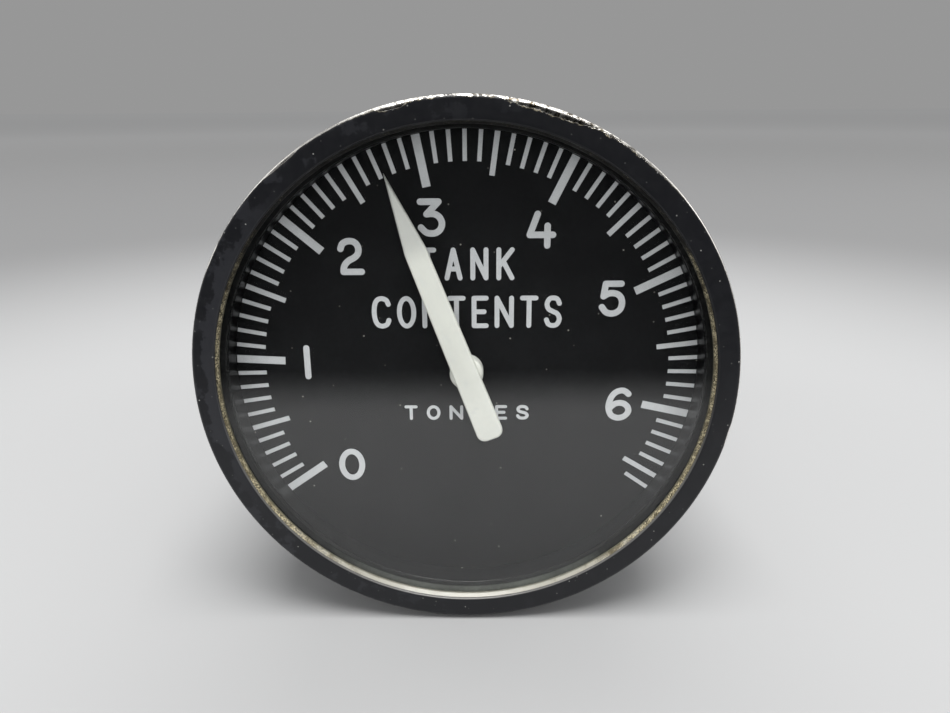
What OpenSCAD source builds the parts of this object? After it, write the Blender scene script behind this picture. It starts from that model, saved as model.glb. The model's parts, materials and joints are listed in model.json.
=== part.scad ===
// Two-inch panel instrument: a servo-driven fuel gauge with its gear train, boards and connector.
// Millimetres. The face looks along -Y, +Z is up, and the panel seat lies at Y = 0.

/* [Bezel] */
// Wall of the bezel around the collar of the case
bezel_wall = 1.6; // [1.1:0.05:2.5]
// Thickness of the front lip
lip_thickness = 0.7; // [0.6:0.1:2]
// How far the lip reaches in over the glass
lip_reach = 0.55; // [0.5:0.05:1]
// Rounding of the front outer edge
bezel_edge_r = 0.4; // [0.3:0.1:1]
// Chamfer on the inner edge of the lip and on the rear outer edge
bezel_chamfer = 0.2; // [0.1:0.05:0.3]

/* [Glass] */
// Thickness of the cover glass
glass_thickness = 1.4; // [1:0.1:3]
// Sealing compound between the lip and the glass
seal_thickness = 0.15; // [0.1:0.05:0.5]
// Width of the bead of compound on the glass
bead_width = 0.25; // [0.15:0.05:0.6]
// Height of the bead up the inner wall of the lip
bead_height = 0.4; // [0.3:0.05:0.6]
// Thickness of the rubber gasket behind the glass
gasket_thickness = 0.5; // [0.3:0.1:1]

/* [Dial] */
// Thickness of the dial plate
dial_thickness = 0.8; // [0.6:0.1:1.5]
// Height of the mask ring between the dial and the gasket
mask_height = 2.4; // [2.2:0.1:5]
// Radial width of the mask ring
mask_wall = 1.05; // [0.8:0.05:2]
// Hole in the dial for the pointer shaft
dial_hole_d = 2.8; // [2.6:0.1:4]
// Diameter of the two feet under the dial
foot_d = 1.2; // [0.8:0.1:1.6]

/* [Scale] */
// Reading at the end of the scale
scale_end = 6.6; // [5:0.1:7]
// Sweep of the scale in degrees
scale_sweep = 250; // [220:5:270]
// Length of the marks at tenths
minor_length = 2.9; // [2:0.05:3.5]
// Length of the marks at halves
medium_length = 4.05; // [3:0.05:4.5]
// Length of the marks at whole numbers
major_length = 4.85; // [4:0.05:6]
// Width of the marks at tenths
minor_width = 0.42; // [0.3:0.02:0.6]
// Width of the marks at halves
medium_width = 0.52; // [0.4:0.02:0.8]
// Width of the marks at whole numbers
major_width = 0.8; // [0.6:0.02:1.1]
// Depth of the engraved marks
mark_depth = 0.12; // [0.06:0.01:0.3]

/* [Pointer] */
// Reading that the pointer shows
pointer_reading = 2.75; // [1:0.05:5]
// Space between the blade and the glass
pointer_clearance = 0.45; // [0.35:0.05:0.9]
// Thickness of the blade
pointer_thickness = 0.5; // [0.3:0.05:0.7]
// Reach of the tip past the inner ends of the minor marks
pointer_overlap = 0.4; // [0:0.1:1]
// Length of the taper to the tip
pointer_taper = 7.5; // [4:0.1:10]
// Width where the taper begins
shoulder_width = 2.1; // [1.5:0.1:3]
// Length of the tail behind the axis
pointer_tail = 7.1; // [5:0.1:10]
// Width of the tail
tail_width = 2.65; // [2:0.05:3.4]
// Rounding of the corners of the tail
tail_corner_r = 0.85; // [0.3:0.05:0.9]
// Diameter of the hub under the blade
hub_d = 3.3; // [3:0.1:5]
// Space between the hub and the dial
hub_lift = 0.3; // [0.3:0.1:0.8]

/* [Case] */
// Outside diameter of the case, held by the panel clamp
case_d = 47.2; // [46:0.1:52]
// Wall of the case
case_wall = 0.7; // [0.6:0.05:1.2]
// Thickness of the rear wall
rear_wall = 1.6; // [1.2:0.1:3]
// Rounding of the rear edge
rear_edge_r = 1.5; // [0.5:0.1:2]
// Step from the case up to the collar that carries the bezel
collar_step = 0.4; // [0.1:0.05:0.5]
// Length of the collar inside the bezel
collar_length = 3.3; // [2.6:0.1:6]
// Width of the shoulder under the front plate
seat_step = 0.4; // [0.2:0.05:0.45]

/* [Chassis] */
// Thickness of the two gear plates
plate_thickness = 2; // [1.6:0.1:2.4]
// Space between the plates
gear_room = 14; // [13:0.5:20]
// Width across the flats of the pillars
pillar_flats = 3.5; // [3.2:0.1:4]
// Distance of the pillars from the inside of the case
pillar_inset = 2.9; // [2.8:0.1:4]
// Diameter of the chassis screws
screw_d = 2; // [1.6:0.1:2.2]

/* [Gears] */
// Module of all gears
gear_module = 0.25; // [0.2:0.01:0.3]
// Teeth on the pointer gear
main_teeth = 80; // [72:1:90]
// Teeth on both pinions
pinion_teeth = 16; // [14:1:20]
// Teeth on the idler gear
idler_teeth = 50; // [44:1:56]
// Face width of the gears
gear_width = 1.2; // [0.8:0.1:1.6]
// Play between meshing teeth
backlash = 0.1; // [0.08:0.01:0.12]
// Diameter of the pointer shaft
shaft_d = 2; // [1.6:0.1:2.2]
// Diameter of the idler pivots
arbor_d = 1.2; // [1:0.1:1.3]
// Over-travel past each end of the scale before the stop, in degrees
overtravel = 2; // [0:0.5:5]
// Diameter of the stop posts
stop_d = 1.4; // [1:0.1:1.8]

/* [Motor] */
// Diameter of the motor
motor_d = 12.7; // [10.5:0.1:14]
// Length of the motor behind the rear plate
motor_length = 26; // [20:0.5:34]
// Wall of the motor can
motor_wall = 0.8; // [0.6:0.1:1]
// Diameter of the motor shaft
motor_shaft_d = 1.5; // [1.2:0.1:1.6]
// Space between the motor and the case
motor_margin = 1.8; // [1:0.1:2.4]
// Space between the motor and the potentiometer
motor_gap = 0.4; // [0.3:0.1:1]
// Diameter of the screws of the motor and the potentiometer
motor_screw_d = 1.4; // [1.2:0.1:1.6]
// Space between the motor and the amplifier board
motor_tail = 3; // [1:0.5:6]

/* [Feedback potentiometer] */
// Depth of the housing
pot_depth = 8; // [7:0.5:12]
// Wall of the housing
pot_wall = 1; // [0.8:0.1:1.2]
// Height of the wound track
track_height = 2.4; // [1.6:0.1:3]
// Angle that the track covers
track_angle = 290; // [275:5:310]

/* [Boards] */
// Thickness of the boards
board_thickness = 1.6; // [1.2:0.1:2]
// Space between the two boards
board_gap = 14; // [13:0.5:20]
// Space between the connector board and the rear wall
rear_room = 6.5; // [6.2:0.1:12]
// Height of the transformer
transformer_height = 11; // [8:0.5:12]
// Height of the capacitors
capacitor_height = 9; // [6:0.5:12]
// Diameter of the resistors
resistor_d = 2.2; // [1.6:0.1:2.4]
// Length of the resistors
resistor_length = 6; // [4:0.5:7]
// Side of the two trimmers
trimmer_side = 5; // [4.4:0.1:5.6]

/* [Connector] */
// Side of the square flange
flange_side = 26.2; // [25.4:0.1:27]
// Thickness of the flange
flange_thickness = 1.6; // [1.2:0.1:2.4]
// Distance of the flange screws from the edge
flange_edge = 2.8; // [2.5:0.1:3]
// Thickness of the flange gasket
flange_gasket = 0.8; // [0.5:0.1:1.5]
// Outside diameter of the shell
shell_d = 19; // [18:0.1:19.6]
// Wall of the shell
shell_wall = 1.5; // [1.2:0.1:1.7]
// Length of the shell behind the flange
shell_length = 11.2; // [10:0.1:14]
// Depth of the socket
socket_depth = 10.5; // [9.5:0.1:11]
// Diameter of the contacts
contact_d = 1; // [0.8:0.1:1.2]
// Length of the contacts in the socket
contact_length = 5.5; // [4:0.1:6]
// Diameter of the flange screws
flange_screw_d = 2.5; // [2:0.1:2.8]
// Diameter of the two adjuster screws
adjuster_d = 3; // [2.4:0.1:3.4]
// Distance between the adjusters
adjuster_spacing = 11; // [9:0.5:12]
// Drop of the adjusters below the flange
adjuster_drop = 2.4; // [2:0.1:3]

/* [Fits] */
// Clearance round pieces that slip together
fit = 0.05; // [0.03:0.01:0.08]
// Clearance round turning shafts
run_clearance = 0.03; // [0.02:0.01:0.06]
// End float of turning shafts
end_float = 0.1; // [0.05:0.01:0.2]

/* [Hidden] */
$fn = 96;
case_r = case_d / 2;
case_bore_r = case_r - case_wall;
collar_r = case_r + collar_step;
seat_bore_r = case_bore_r + seat_step;
bezel_bore_r = collar_r + fit;
bezel_r = bezel_bore_r + bezel_wall;
lip_r = bezel_bore_r - lip_reach;
stack_r = bezel_bore_r - 2 * fit;
mask_bore_r = stack_r - mask_wall;

// The stack under the lip, from the collar forwards
dial_face = collar_length + dial_thickness;
mask_front = dial_face + mask_height;
glass_back = mask_front + gasket_thickness;
glass_front = glass_back + glass_thickness;
lip_back = glass_front + seal_thickness;
bezel_front = lip_back + lip_thickness;
blade_back = glass_back - pointer_clearance - pointer_thickness;
hub_back = dial_face + hub_lift;

// The chassis, from the front plate rearwards
front_plate_back = collar_length - plate_thickness;
rear_plate_front = front_plate_back - gear_room;
rear_plate_back = rear_plate_front - plate_thickness;
motor_back = rear_plate_back - motor_length;
amplifier_front = motor_back - motor_tail;
amplifier_back = amplifier_front - board_thickness;
connector_board_front = amplifier_back - board_gap;
connector_board_back = connector_board_front - board_thickness;
case_floor = connector_board_back - rear_room;
case_back = case_floor - rear_wall;
flange_front = case_back - flange_gasket;
flange_back = flange_front - flange_thickness;
shell_end = flange_back - shell_length;
insert_face = shell_end + socket_depth;
barrel_front = case_floor + 2;
bayonet_setback = 4.5;
bayonet_r = 0.9;
bayonet_height = 0.8;
main_keyway = 2.4;
side_keyway = 1.4;
keyway_depth = 0.5;
flange_screw_head_h = 1.4;

board_r = case_bore_r - 0.5;
pillar_r = case_bore_r - pillar_inset;
pillar_at = [for (a = [110, 230, 350]) polar(pillar_r, a)];
foot_at = [[-14, -6], [14, 9]];
stud_length = 4;

// The scale and the pointer
degrees_per_unit = scale_sweep / scale_end;
scale_start = 90 + scale_sweep / 2;
pointer_angle = scale_start - pointer_reading * degrees_per_unit;
tip_r = mask_bore_r - minor_length + pointer_overlap;

// The gear train: the motor lies along the case, and the idler meshes with both gears
pressure_angle = 20;
bush_flange = 0.6;
bush_wall = 0.8;
main_pitch_r = gear_module * main_teeth / 2;
main_root_r = main_pitch_r - 1.25 * gear_module;
main_hub_r = shaft_d / 2 + 2;
main_hub_length = 4;
main_gear_front = front_plate_back - bush_flange - end_float - main_hub_length + gear_width;
main_gear_back = main_gear_front - gear_width;
idler_distance = gear_module * (main_teeth + pinion_teeth) / 2;
motor_mesh = gear_module * (idler_teeth + pinion_teeth) / 2;
motor_distance = case_bore_r - motor_margin - motor_d / 2;
motor_direction = 270;
idler_direction = motor_direction
  + third_angle(idler_distance, motor_distance, motor_mesh);
motor_at = polar(motor_distance, motor_direction);
idler_at = polar(idler_distance, idler_direction);
mesh_direction = atan2(motor_at[1] - idler_at[1], motor_at[0] - idler_at[0]);
idler_pinion_phase = mating_phase(idler_direction, 0, main_teeth, pinion_teeth);
motor_pinion_phase = mating_phase(mesh_direction, 0, idler_teeth, pinion_teeth);
idler_gear_gap = 3.4;
idler_gear_front = main_gear_back - idler_gear_gap;
idler_gear_back = idler_gear_front - gear_width;
arbor_seat_r = arbor_d / 2 + 0.45;
mesh_margin = 0.3;
bearing_r = shaft_d / 2 + bush_wall;
bush_r = arbor_d / 2 + bush_wall;

// A pin in the pointer gear meets a post at each end of the travel
stop_pin_d = 1.2;
stop_r = main_root_r - 1.6;
stop_pin_angle = pointer_angle + 180;
stop_contact = 2 * asin((stop_d / 2 + stop_pin_d / 2 + fit) / 2 / stop_r);
stop_low = stop_pin_angle + pointer_reading * degrees_per_unit + overtravel + stop_contact;
stop_high = stop_pin_angle - (scale_end - pointer_reading) * degrees_per_unit
  - overtravel - stop_contact;
stop_at = [polar(stop_r, stop_low), polar(stop_r, stop_high)];

// The motor and the potentiometer
cap_length = 3;
pilot_r = motor_shaft_d / 2 + 2;
motor_screw_r = (pilot_r + motor_d / 2) / 2;
motor_screw_at = [for (i = [60, 180, 300]) motor_at + polar(motor_screw_r, mesh_direction + i)];
motor_end = 2.5;
motor_screw_head_d = 1.6 * motor_screw_d;
pot_r = motor_distance - motor_d / 2 - motor_gap;
pot_bore_r = pot_r - pot_wall;
track_r = pot_bore_r - fit;
track_wall = 0.7;
track_middle = rear_plate_back - pot_depth / 2 - 0.6;
pot_floor = 1;
pot_screw_at = [for (s = [-1, 1]) [s * (pot_bore_r - motor_screw_head_d), 0]];
shaft_back = track_middle - track_height / 2;

// The parts on the boards
lead_r = 0.25;
can_r = 4.1;
can_height = 6.2;
capacitor_r = 3;
transistor_at = [[-10, 6], [-14.5, -4.5], [14.5, 2.5], [11, -10.5]];
capacitor_at = [[-2, -16], [4.8, -17], [-8, -9.5]];
resistor_pitch = 2.6;
resistor_at = [for (i = [0:5]) [0.5, resistor_pitch * i - 10]];
resistor_reach = resistor_length / 2 + 1.6;
resistor_lift = resistor_d / 2 + 0.1;
transformer_at = [3, 11];
transformer_back = amplifier_back - transformer_height;
core_leg = 4.8;
core_window = 3.2;
core_yoke = 2;
core_width = core_leg + 2 * core_window + 1.4 * core_yoke;
core_depth = 6;
coil_width = core_leg + 2 * core_window - 0.4;
coil_depth = 10;
lead_at = concat(
  [for (p = transistor_at, a = [0, 120, 240]) p + polar(2.5, a)],
  [for (p = capacitor_at, s = [-1.2, 1.2]) p + [s, 0]],
  [for (p = resistor_at, s = [-1, 1]) p + [s * resistor_reach, 0]]);

// The connector and the adjusters
shell_r = shell_d / 2;
shell_bore_r = shell_r - shell_wall;
barrel_r = shell_r - 0.5;
flange_screw_at = [for (x = [-1, 1], y = [-1, 1]) [x, y] * (flange_side / 2 - flange_edge)];
contact_at = concat(
  [for (i = [0:6]) polar(0.62 * shell_bore_r, 90 + i * 360 / 7)],
  [for (i = [0:2]) polar(0.25 * shell_bore_r, 90 + i * 120)]);
adjuster_y = -flange_side / 2 - adjuster_drop;
trimmer_height = 4.4;
nut_height = 0.8 * screw_d;

function polar(r, a) = [r * cos(a), r * sin(a)];

function arc_points(c, r, a0, a1) = [for (i = [0:8]) c + polar(r, a0 + (a1 - a0) * i / 8)];

// Angle between sides a and b of a triangle whose third side is c
function third_angle(a, b, c) = acos((a * a + b * b - c * c) / (2 * a * b));

// Turn of a gear with n2 teeth that meshes, in direction d, with one of n1 teeth turned by p
function mating_phase(d, p, n1, n2) = d + 180 + 180 / n2 - (p - d) * n1 / n2;

function involute(a) = tan(a) * 180 / PI - a;

// Half the angle of a tooth at radius r of a gear with n teeth
function tooth_half(n, r) =
  let (pitch_r = gear_module * n / 2)
  (PI * gear_module - backlash) / 4 / pitch_r * 180 / PI
  + involute(pressure_angle) - involute(acos(min(1, pitch_r * cos(pressure_angle) / r)));

// Radius and angle of each point of one tooth
function tooth_points(n) =
  let (
    pitch_r = gear_module * n / 2,
    root_r = pitch_r - 1.25 * gear_module,
    start_r = max(root_r, pitch_r * cos(pressure_angle)),
    flank = [for (i = [0:3]) start_r + (pitch_r + 0.95 * gear_module - start_r) * i / 3])
  concat(
    [[root_r, -tooth_half(n, start_r)]],
    [for (r = flank) [r, -tooth_half(n, r)]],
    [for (i = [3:-1:0]) [flank[i], tooth_half(n, flank[i])]],
    [[root_r, tooth_half(n, start_r)]]);

// Turns a module drawn face up so that its face looks along -Y
module face_front() {
  rotate([90, 0, 0])
    children();
}

module at_each(points) {
  for (p = points)
    translate([p[0], p[1], 0])
      children();
}

module rod(r, z0, z1) {
  translate([0, 0, z0])
    cylinder(r = r, h = z1 - z0);
}

module ring(r_out, r_in, z0, z1) {
  difference() {
    rod(r_out, z0, z1);
    rod(r_in, z0 - 1, z1 + 1);
  }
}

module toothed_disc(teeth, z0, z1) {
  translate([0, 0, z0])
    linear_extrude(z1 - z0)
      polygon([for (i = [0:teeth - 1], p = tooth_points(teeth)) polar(p[0], 360 * i / teeth + p[1])]);
}

// Hexagonal pillar with a tapped front end and a stud behind
module standoff(z_front, z_back, stud) {
  difference() {
    translate([0, 0, z_back])
      cylinder(d = pillar_flats / cos(30), h = z_front - z_back, $fn = 6);
    rod(screw_d / 2 + fit, z_front - stud_length - 0.5, z_front + 1);
  }
  rod(screw_d / 2, z_back - stud, z_back + 0.5);
}

// Flanged bush that runs from z_seat to z_end, with its flange on the far side of z_seat
module bush(r, bore_r, z_seat, z_end) {
  z_flange = z_seat + sign(z_seat - z_end) * bush_flange;
  difference() {
    union() {
      rod(r, min(z_flange, z_end), max(z_flange, z_end));
      rod(r + 0.8, min(z_seat, z_flange), max(z_seat, z_flange));
    }
    rod(bore_r, min(z_flange, z_end) - 1, max(z_flange, z_end) + 1);
  }
}

// Screw with a slotted cheese head that lies under z_seat when side is -1
module cheese_screw(d, head_d, head_h, length, z_seat, side) {
  difference() {
    union() {
      rod(head_d / 2, min(z_seat, z_seat + side * head_h), max(z_seat, z_seat + side * head_h));
      rod(d / 2, min(z_seat, z_seat - side * length), max(z_seat, z_seat - side * length));
    }
    translate([0, 0, z_seat + side * head_h])
      cube([head_d + 1, head_d * 0.2, head_h], center = true);
  }
}

module bezel() {
  color("#1c1c1e")
    rotate_extrude()
      polygon(concat(
        [[bezel_bore_r, 0], [bezel_r - bezel_chamfer, 0], [bezel_r, bezel_chamfer]],
        arc_points([bezel_r - bezel_edge_r, bezel_front - bezel_edge_r], bezel_edge_r, 0, 90),
        [[lip_r + bezel_chamfer, bezel_front], [lip_r, bezel_front - bezel_chamfer],
          [lip_r, lip_back], [bezel_bore_r, lip_back]]));
}

module glass_seal() {
  color("#8a7f5c")
    rotate_extrude()
      polygon([[stack_r, glass_front], [stack_r, lip_back], [lip_r, lip_back],
        [lip_r, lip_back + bead_height], [lip_r - bead_width, glass_front + seal_thickness / 2],
        [lip_r - bead_width, glass_front]]);
}

module glass() {
  color("#d8e6e0", 0.4)
    rod(stack_r, glass_back, glass_front);
}

module glass_gasket() {
  color("#141414")
    ring(stack_r, mask_bore_r + 0.1, mask_front, glass_back);
}

module dial_mask() {
  color("#1a1a1b")
    ring(stack_r, mask_bore_r, dial_face, mask_front);
}

module mark(angle, length, width) {
  rotate([0, 0, angle])
    translate([mask_bore_r - length, -width / 2, dial_face - mark_depth])
      cube([length - fit, width, 1]);
}

module dial() {
  color("#18181a") {
    difference() {
      rod(stack_r, collar_length, dial_face);
      rod(dial_hole_d / 2, collar_length - 1, dial_face + 1);
      for (i = [0:round(scale_end * 10)]) {
        whole = i % 10 == 0;
        half = i % 5 == 0;
        mark(scale_start - i / 10 * degrees_per_unit,
          whole ? major_length : half ? medium_length : minor_length,
          whole ? major_width : half ? medium_width : minor_width);
      }
    }
    at_each(foot_at)
      rod(foot_d / 2, collar_length - plate_thickness + 0.4, collar_length + dial_thickness / 4);
  }
}

module pointer() {
  color("#e6e4da")
    rotate([0, 0, pointer_angle])
      translate([0, 0, blade_back])
        linear_extrude(pointer_thickness)
          polygon(concat(
            [[tip_r, 0], [tip_r - pointer_taper, shoulder_width / 2]],
            arc_points([tail_corner_r - pointer_tail, tail_width / 2 - tail_corner_r],
              tail_corner_r, 90, 180),
            arc_points([tail_corner_r - pointer_tail, tail_corner_r - tail_width / 2],
              tail_corner_r, 180, 270),
            [[tip_r - pointer_taper, -shoulder_width / 2]]));
}

module pointer_hub() {
  color("#dcdad0")
    difference() {
      rod(hub_d / 2, hub_back, blade_back);
      rod(shaft_d / 2, hub_back - 1, blade_back - 0.3);
    }
}

module pointer_shaft() {
  color("#b9bcc0") {
    rod(shaft_d / 2, shaft_back, blade_back - 0.3);
    rod(shaft_d / 2 + 0.7, rear_plate_front + bush_flange + end_float,
      rear_plate_front + bush_flange + end_float + 1.2);
  }
}

module front_bearing() {
  color("#c29b4b")
    bush(bearing_r, shaft_d / 2 + run_clearance, front_plate_back, collar_length - 0.2);
}

module rear_bearing() {
  color("#c29b4b")
    bush(bearing_r, shaft_d / 2 + run_clearance, rear_plate_front, rear_plate_back);
}

module main_gear() {
  color("#c8a24e")
    difference() {
      union() {
        toothed_disc(main_teeth, main_gear_back, main_gear_front);
        rod(main_hub_r, main_gear_back, main_gear_back + main_hub_length);
      }
      rod(shaft_d / 2, main_gear_back - 1, main_gear_back + main_hub_length + 1);
      translate(concat(polar(stop_r, stop_pin_angle), 0))
        rod(stop_pin_d / 2, main_gear_back - 1, main_gear_front + 1);
      for (i = [0:4])
        rotate([0, 0, stop_pin_angle + 36 + 72 * i])
          translate([(main_hub_r + main_root_r) / 2, 0, 0])
            rod((main_root_r - main_hub_r) / 2 - 1.2, main_gear_back - 1, main_gear_front + 1);
    }
}

module stop_pin() {
  color("#aeb1b5")
    translate(concat(polar(stop_r, stop_pin_angle), 0))
      rod(stop_pin_d / 2, main_gear_back, main_gear_front + 2);
}

module stop_posts() {
  color("#aeb1b5")
    at_each(stop_at)
      rod(stop_d / 2, main_gear_front + 0.8, collar_length - 0.2);
}

module idler_pinion() {
  color("#b4b7bb")
    translate(concat(idler_at, 0)) {
      rod(arbor_d / 2, rear_plate_back + 0.2, collar_length - 0.4);
      rod(arbor_seat_r, rear_plate_front + bush_flange + end_float,
        front_plate_back - bush_flange - end_float);
      rotate([0, 0, idler_pinion_phase])
        toothed_disc(pinion_teeth, main_gear_back - mesh_margin, main_gear_front + mesh_margin);
    }
}

module idler_gear() {
  color("#c8a24e")
    translate(concat(idler_at, 0))
      difference() {
        union() {
          toothed_disc(idler_teeth, idler_gear_back, idler_gear_front);
          rod(arbor_seat_r + 1, idler_gear_back, idler_gear_front + 1);
        }
        rod(arbor_seat_r, idler_gear_back - 1, idler_gear_front + 2);
      }
}

module idler_bushes() {
  color("#c29b4b")
    translate(concat(idler_at, 0)) {
      bush(bush_r, arbor_d / 2 + run_clearance, front_plate_back, collar_length - 0.2);
      bush(bush_r, arbor_d / 2 + run_clearance, rear_plate_front, rear_plate_back);
    }
}

module front_plate() {
  color("#c9cbcd")
    difference() {
      rod(seat_bore_r - fit, front_plate_back, collar_length);
      rod(bearing_r, front_plate_back - 1, collar_length + 1);
      at_each([idler_at])
        rod(bush_r, front_plate_back - 1, collar_length + 1);
      at_each(stop_at)
        rod(stop_d / 2, front_plate_back - 1, collar_length + 1);
      at_each(foot_at)
        rod(foot_d / 2 + fit, front_plate_back - 1, collar_length + 1);
      at_each(pillar_at) {
        rod(screw_d / 2 + fit, front_plate_back - 1, collar_length + 1);
        translate([0, 0, collar_length - screw_d / 2])
          cylinder(r1 = screw_d / 2 + fit, r2 = screw_d + fit, h = screw_d / 2);
      }
    }
}

module rear_plate() {
  color("#c9cbcd")
    difference() {
      rod(board_r, rear_plate_back, rear_plate_front);
      rod(bearing_r, rear_plate_back - 1, rear_plate_front + 1);
      at_each([idler_at])
        rod(bush_r, rear_plate_back - 1, rear_plate_front + 1);
      at_each([motor_at])
        rod(pilot_r + fit, rear_plate_back - 1, rear_plate_front + 1);
      at_each(concat(motor_screw_at, pot_screw_at))
        rod(motor_screw_d / 2 + fit, rear_plate_back - 1, rear_plate_front + 1);
      at_each(pillar_at)
        rod(screw_d / 2 + fit, rear_plate_back - 1, rear_plate_front + 1);
    }
}

module plate_pillars() {
  color("#b9bcc0")
    at_each(pillar_at)
      standoff(front_plate_back, rear_plate_front, plate_thickness + stud_length);
}

module plate_screws() {
  color("#b0b3b7")
    at_each(pillar_at)
      difference() {
        union() {
          rod(screw_d / 2, front_plate_back - stud_length, collar_length - 0.1);
          translate([0, 0, collar_length - screw_d / 2])
            cylinder(r1 = screw_d / 2, r2 = screw_d - 0.1, h = screw_d / 2 - 0.1);
        }
        translate([0, 0, collar_length])
          cube([2 * screw_d + 1, 0.5, 0.9], center = true);
      }
}

module motor_pinion() {
  color("#c8a24e")
    translate(concat(motor_at, 0))
      difference() {
        union() {
          rotate([0, 0, motor_pinion_phase])
            toothed_disc(pinion_teeth, idler_gear_back - mesh_margin, idler_gear_front + mesh_margin);
          rod(motor_shaft_d / 2 + 0.35, idler_gear_back - 1.2, idler_gear_back);
        }
        rod(motor_shaft_d / 2, idler_gear_back - 2, idler_gear_front + 1);
      }
}

module motor_rotor() {
  color("#9a9da1")
    translate(concat(motor_at, 0)) {
      rod(motor_shaft_d / 2, motor_back + 0.6, idler_gear_front + mesh_margin);
      rod(motor_d / 2 - motor_wall - 0.4, motor_back + motor_end + end_float,
        rear_plate_back - cap_length - end_float);
    }
}

module motor_cap() {
  color("#a7aaae")
    difference() {
      translate(concat(motor_at, 0)) {
        rod(motor_d / 2, rear_plate_back - cap_length, rear_plate_back);
        rod(pilot_r, rear_plate_back - 0.5, rear_plate_front);
      }
      at_each([motor_at])
        rod(motor_shaft_d / 2 + run_clearance, rear_plate_back - cap_length - 1, rear_plate_front + 1);
      at_each(motor_screw_at)
        rod(motor_screw_d / 2 + fit, rear_plate_back - cap_length + 0.4, rear_plate_back + 1);
    }
}

module motor_can() {
  color("#8e9195")
    translate(concat(motor_at, 0))
      difference() {
        rod(motor_d / 2, motor_back, rear_plate_back - cap_length);
        rod(motor_d / 2 - motor_wall, motor_back + motor_end, rear_plate_back);
        rod(motor_shaft_d / 2 + run_clearance, motor_back + 0.5, rear_plate_back);
      }
}

module motor_screws() {
  color("#b0b3b7")
    at_each(motor_screw_at)
      cheese_screw(motor_screw_d, motor_screw_head_d, 0.7 * motor_screw_d,
        plate_thickness + cap_length - 0.8, rear_plate_front, 1);
}

module pot_housing() {
  color("#5a3a26")
    difference() {
      rod(pot_r, rear_plate_back - pot_depth, rear_plate_back);
      rod(pot_bore_r, rear_plate_back - pot_depth - 1, rear_plate_back - pot_floor);
      rod(shaft_d / 2 + 0.4, rear_plate_back - 2, rear_plate_back + 1);
      at_each(pot_screw_at)
        rod(motor_screw_d / 2 + fit, rear_plate_back - 2, rear_plate_back + 1);
    }
}

module pot_winding() {
  color("#b87a3d")
    rotate([0, 0, 90 + (360 - track_angle) / 2])
      rotate_extrude(angle = track_angle)
        translate([track_r - track_wall, track_middle - track_height / 2])
          square([track_wall, track_height]);
}

module pot_wiper() {
  color("#d2b25f")
    difference() {
      union() {
        rod(shaft_d / 2 + 1.2, shaft_back, track_middle + track_height / 2);
        rotate([0, 0, pointer_angle + 180]) {
          translate([0, -0.6, track_middle - 0.4])
            cube([track_r - track_wall - 0.5, 1.2, 0.8]);
          translate([track_r - track_wall - 1, 0, track_middle])
            rotate([0, 90, 0])
              cylinder(r = 0.5, h = 1 - fit);
        }
      }
      rod(shaft_d / 2, shaft_back - 1, track_middle + track_height);
    }
}

module pot_screws() {
  color("#b0b3b7")
    at_each(pot_screw_at)
      cheese_screw(motor_screw_d, motor_screw_head_d, 0.5 * motor_screw_d,
        pot_floor + plate_thickness - 0.2, rear_plate_back - pot_floor, -1);
}

module board_pillars() {
  color("#b9bcc0")
    at_each(pillar_at)
      standoff(rear_plate_back, amplifier_front, board_thickness + stud_length);
}

module amplifier_board() {
  color("#3f6b45")
    difference() {
      rod(board_r, amplifier_back, amplifier_front);
      at_each(pillar_at)
        rod(screw_d / 2 + fit, amplifier_back - 1, amplifier_front + 1);
      at_each(lead_at)
        rod(lead_r + fit, amplifier_back - 1, amplifier_front + 1);
    }
}

module transformer_core() {
  color("#6d7074")
    translate(concat(transformer_at, 0))
      difference() {
        translate([-core_width / 2, -core_depth / 2, transformer_back])
          cube([core_width, core_depth, transformer_height]);
        for (s = [-1, 1])
          translate([(s * (core_leg + core_window) - core_window) / 2, -core_depth,
            transformer_back + core_yoke])
            cube([core_window, 2 * core_depth, transformer_height - 2 * core_yoke]);
      }
}

module transformer_coil() {
  color("#a8643a")
    translate(concat(transformer_at, 0))
      difference() {
        translate([-coil_width / 2, -coil_depth / 2, transformer_back + core_yoke + fit])
          cube([coil_width, coil_depth, transformer_height - 2 * core_yoke - 2 * fit]);
        translate([-core_leg / 2 - fit, -core_depth / 2 - fit, transformer_back])
          cube([core_leg + 2 * fit, core_depth + 2 * fit, transformer_height]);
      }
}

module transistors() {
  color("#a9abae")
    at_each(transistor_at) {
      rod(can_r + 0.5, amplifier_back - 0.7, amplifier_back);
      rod(can_r, amplifier_back - can_height, amplifier_back);
      for (a = [0, 120, 240])
        translate(concat(polar(2.5, a), 0))
          rod(lead_r, amplifier_back - 0.5, amplifier_front + 0.5);
    }
}

module capacitors() {
  color("#2b4a7a")
    at_each(capacitor_at) {
      rod(capacitor_r, amplifier_back - capacitor_height, amplifier_back);
      for (s = [-1.2, 1.2])
        translate([s, 0, 0])
          rod(lead_r, amplifier_back - 0.5, amplifier_front + 0.5);
    }
}

module resistors() {
  color("#b99b6b")
    at_each(resistor_at) {
      translate([-resistor_length / 2, 0, amplifier_back - resistor_lift])
        rotate([0, 90, 0])
          cylinder(d = resistor_d, h = resistor_length);
      translate([-resistor_reach - lead_r, 0, amplifier_back - resistor_lift])
        rotate([0, 90, 0])
          cylinder(r = lead_r, h = 2 * (resistor_reach + lead_r));
      for (s = [-1, 1])
        translate([s * resistor_reach, 0, 0])
          rod(lead_r, amplifier_back - resistor_lift, amplifier_front + 0.5);
    }
}

module board_spacers() {
  color("#b9bcc0")
    at_each(pillar_at)
      standoff(amplifier_back, connector_board_front, board_thickness + nut_height + 0.4);
}

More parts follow.
